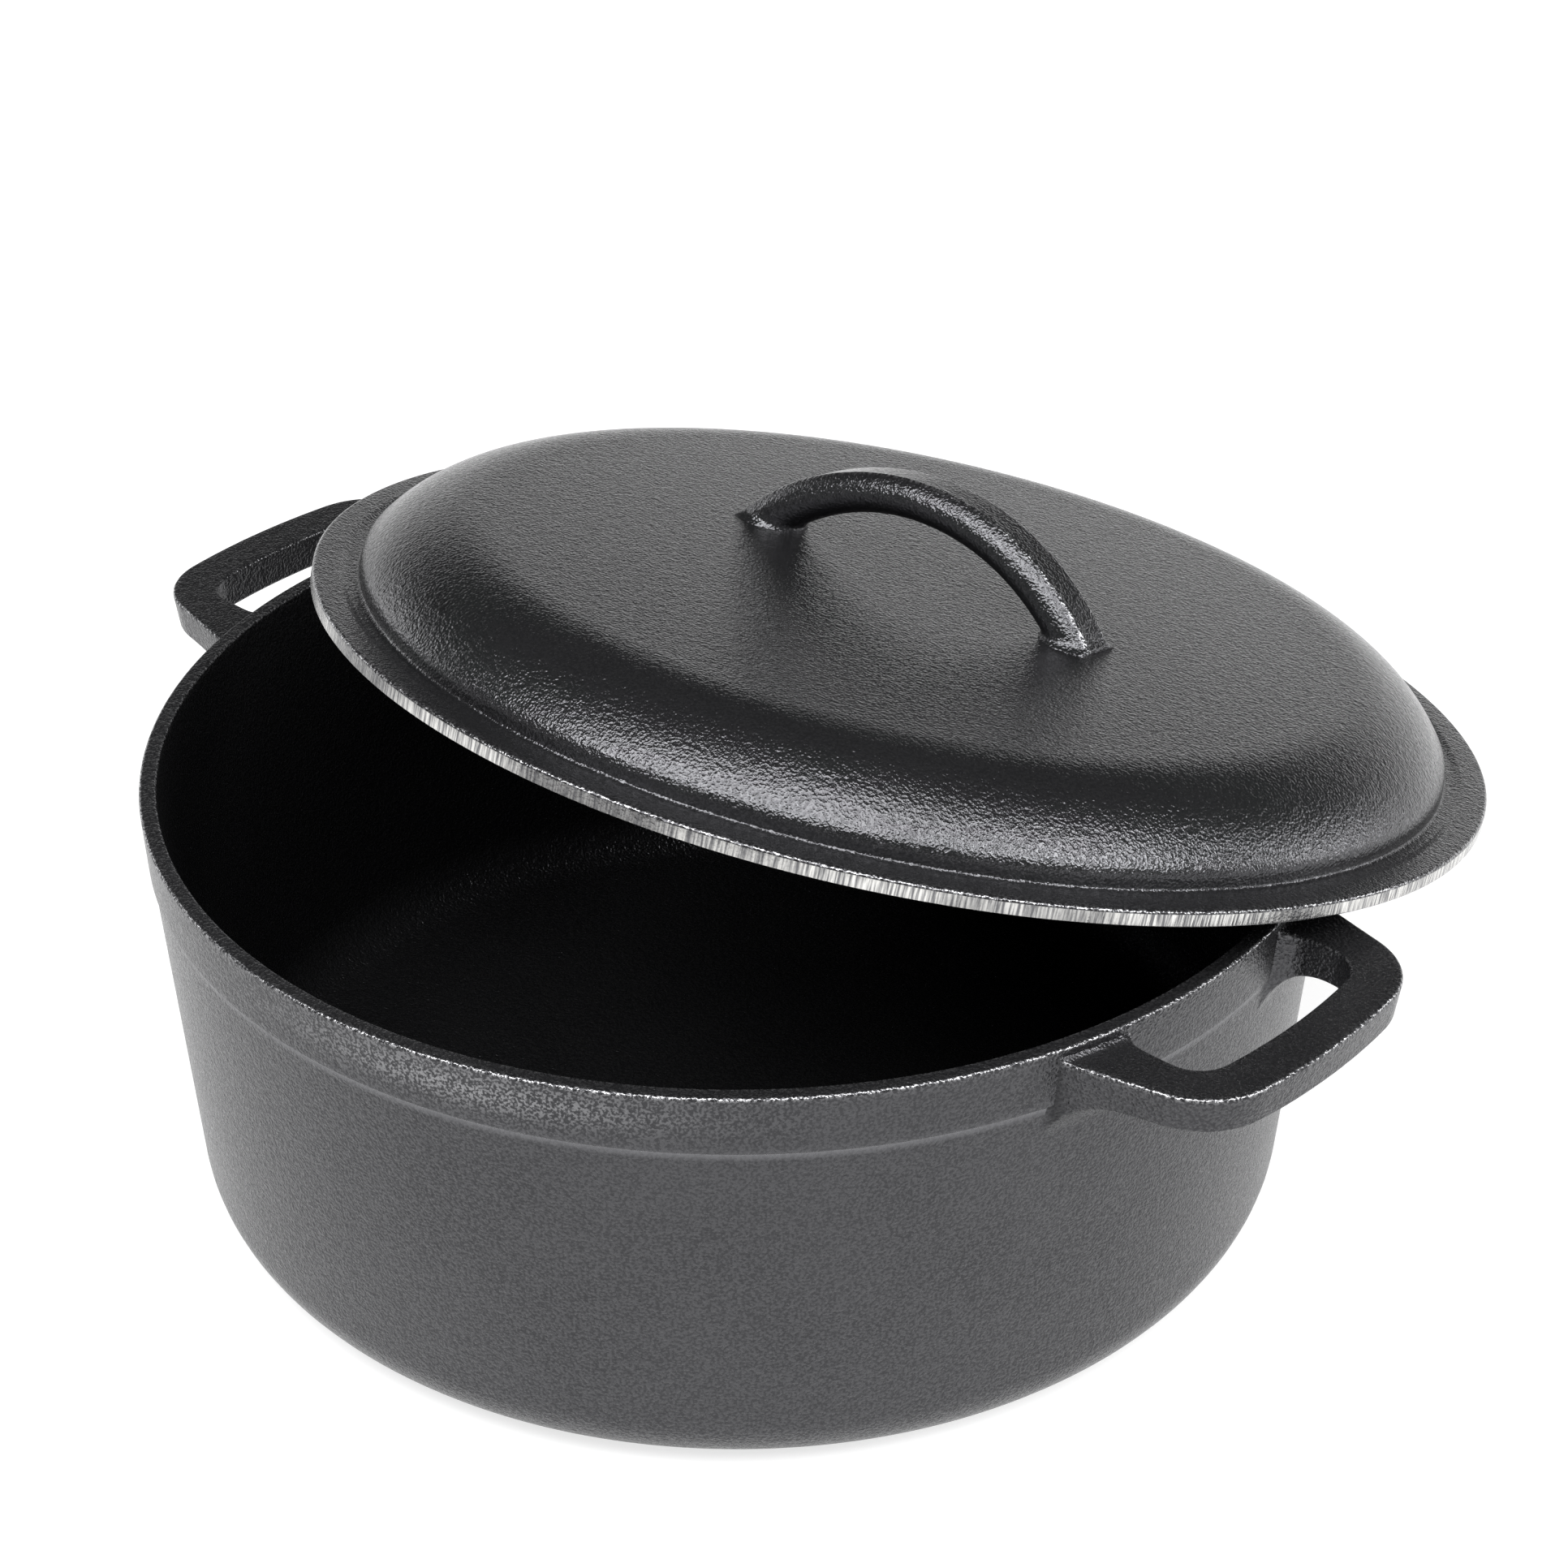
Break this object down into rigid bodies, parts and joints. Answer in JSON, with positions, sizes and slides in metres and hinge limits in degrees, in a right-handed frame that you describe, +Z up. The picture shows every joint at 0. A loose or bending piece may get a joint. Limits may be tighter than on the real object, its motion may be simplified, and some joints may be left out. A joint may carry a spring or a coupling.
{
  "type": "dutch oven",
  "caption": "Round cast iron dutch oven with loop side handles and a domed lid with an arched handle, stored with the lid ajar and tilted on the pot.",
  "frame": {"origin": "centre of the pot's flat base, at the height it stands on", "axes": "+Z up along the pot's axis, X through the loop side handles, +Y towards the side where the lid lies low"},
  "size_m": [0.373, 0.3542, 0.1784],
  "materials": {
    "pot_iron": "black seasoned sand casting, satin, fine pebbled grain",
    "lid_iron": "black seasoned sand casting, semi-gloss, fine pebbled grain, ground flange edge"
  },
  "bodies": {
    "pot": {"pot": "pot_iron"},
    "lid": {"lid": "lid_iron"}
  },
  "joints": [
    {"name": "lid_lift", "type": "slide", "parent": "pot", "child": "lid", "axis": [0, 0, 1], "range_m": [0, 0.12]}
  ]
}
